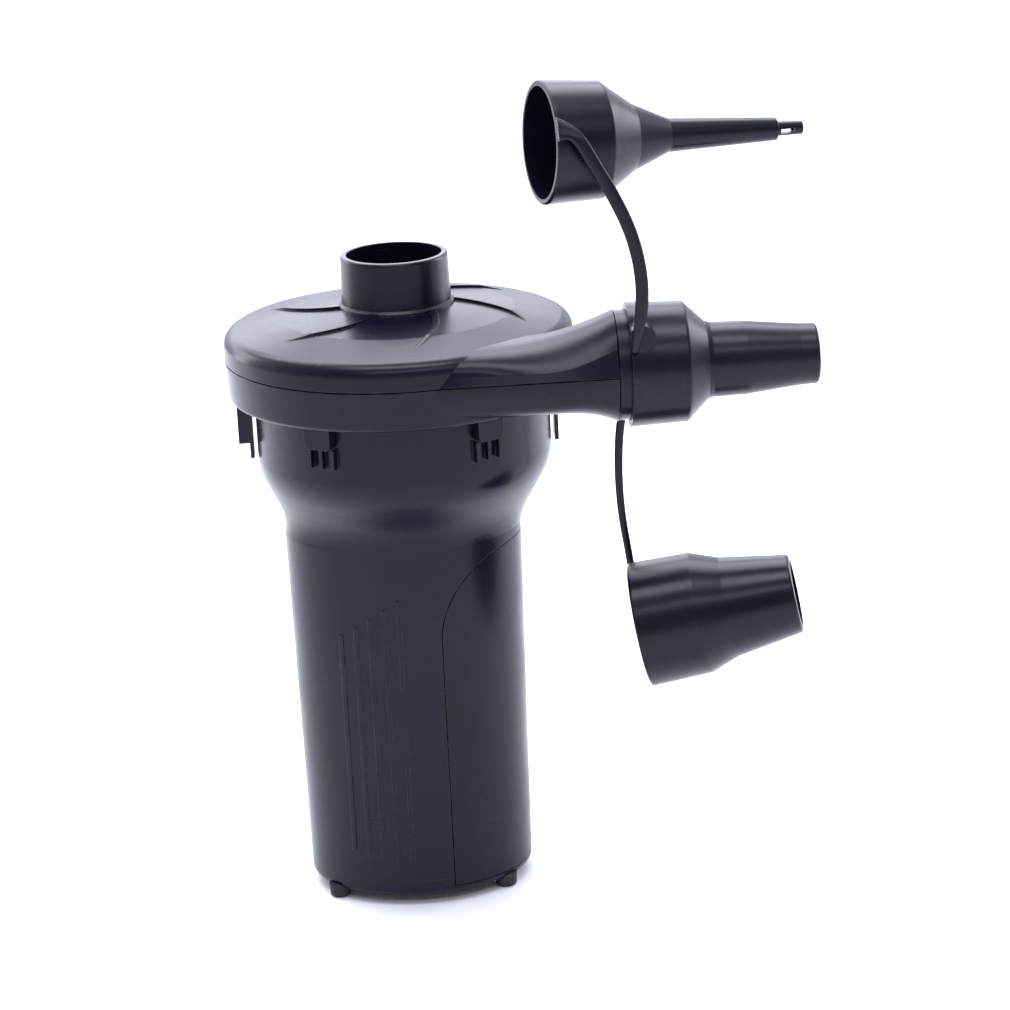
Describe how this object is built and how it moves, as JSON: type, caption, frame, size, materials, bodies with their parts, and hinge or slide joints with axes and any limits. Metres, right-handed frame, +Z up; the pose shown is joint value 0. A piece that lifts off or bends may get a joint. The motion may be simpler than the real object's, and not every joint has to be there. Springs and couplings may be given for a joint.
{
  "type": "electric air mattress pump",
  "caption": "Battery-powered hand-held air pump: oval battery body, round fan housing with a top intake and a side outlet, and nozzles held by straps.",
  "frame": {"origin": "on the fan axis, on the surface that the pump stands on", "axes": "+Z up along the fan axis through the intake, +X out of the outlet, -Y towards the outlet's side of the housing"},
  "size_m": [0.1868, 0.1175, 0.2737],
  "materials": {
    "shell": "satin",
    "grille": "satin",
    "nozzle": "satin",
    "strap": "satin",
    "screw_steel": "satin",
    "foot_rubber": "matte",
    "switch_plastic": "satin",
    "inner_plastic": "matte",
    "plate": "satin",
    "battery_can": "satin",
    "contact_steel": "satin",
    "terminal_brass": "satin",
    "motor_steel": "satin",
    "magnet": "matte",
    "bearing_bronze": "satin",
    "carbon": "matte",
    "copper_wire": "gloss",
    "impeller_plastic": "satin"
  },
  "bodies": {
    "pump": {"upper_volute_cover": "shell", "lower_volute_cover": "shell", "outlet_sleeve": "shell", "body_shell": "shell", "intake_grille": "grille", "cover_screws": "screw_steel", "motor_screws": "screw_steel", "plate_screws": "screw_steel", "foot_front_left": "foot_rubber", "foot_front_right": "foot_rubber", "foot_back_left": "foot_rubber", "foot_back_right": "foot_rubber", "switch_bezel": "switch_plastic", "switch_body": "inner_plastic", "battery_cradle_front": "inner_plastic", "battery_cradle_back": "inner_plastic", "battery_bulkhead": "inner_plastic", "motor_end_bell": "inner_plastic", "rating_plate": "plate", "battery_cell_left_lower": "battery_can", "battery_cell_left_upper": "battery_can", "battery_cell_right_lower": "battery_can", "battery_cell_right_upper": "battery_can", "lower_link_plate": "contact_steel", "lower_contact_spring": "contact_steel", "plus_contact": "contact_steel", "minus_contact": "contact_steel", "switch_terminals": "terminal_brass", "motor_terminals": "terminal_brass", "motor_can": "motor_steel", "motor_plate": "motor_steel", "motor_magnets": "magnet", "front_bearing": "bearing_bronze", "rear_bearing": "bearing_bronze", "carbon_brushes": "carbon"},
    "rotor": {"motor_shaft": "motor_steel", "armature": "motor_steel", "armature_windings": "copper_wire", "commutator": "terminal_brass", "impeller": "impeller_plastic"},
    "switch_knob": {"switch_slider": "switch_plastic"},
    "door": {"battery_door": "shell"},
    "medium_nozzle": {"nozzle_medium": "nozzle"},
    "pin_nozzle": {"nozzle_pin": "nozzle", "upper_strap": "strap"},
    "wide_nozzle": {"nozzle_wide": "nozzle", "lower_strap": "strap"}
  },
  "joints": [
    {"name": "fan_spin", "type": "hinge", "parent": "pump", "child": "rotor", "pos_m": [0, 0, 0.178], "axis": [0, 0, 1], "continuous": true},
    {"name": "switch_slide", "type": "slide", "parent": "pump", "child": "switch_knob", "axis": [0, 0, 1], "range_m": [0, 0.005]},
    {"name": "door_slide", "type": "slide", "parent": "pump", "child": "door", "axis": [1, 0, 0], "range_m": [0, 0.03]},
    {"name": "nozzle_pull", "type": "slide", "parent": "pump", "child": "medium_nozzle", "axis": [1, 0, 0], "range_m": [0, 0.025]},
    {"name": "upper_strap_bend", "type": "hinge", "parent": "medium_nozzle", "child": "pin_nozzle", "pos_m": [0.0738, -0.058, 0.1952], "axis": [0, 1, 0], "range_deg": [-25, 35], "stiffness_Nm_per_rad": 0.3},
    {"name": "lower_strap_bend", "type": "hinge", "parent": "medium_nozzle", "child": "wide_nozzle", "pos_m": [0.0738, -0.0175, 0.1745], "axis": [0, 1, 0], "range_deg": [-35, 25], "stiffness_Nm_per_rad": 0.3}
  ]
}
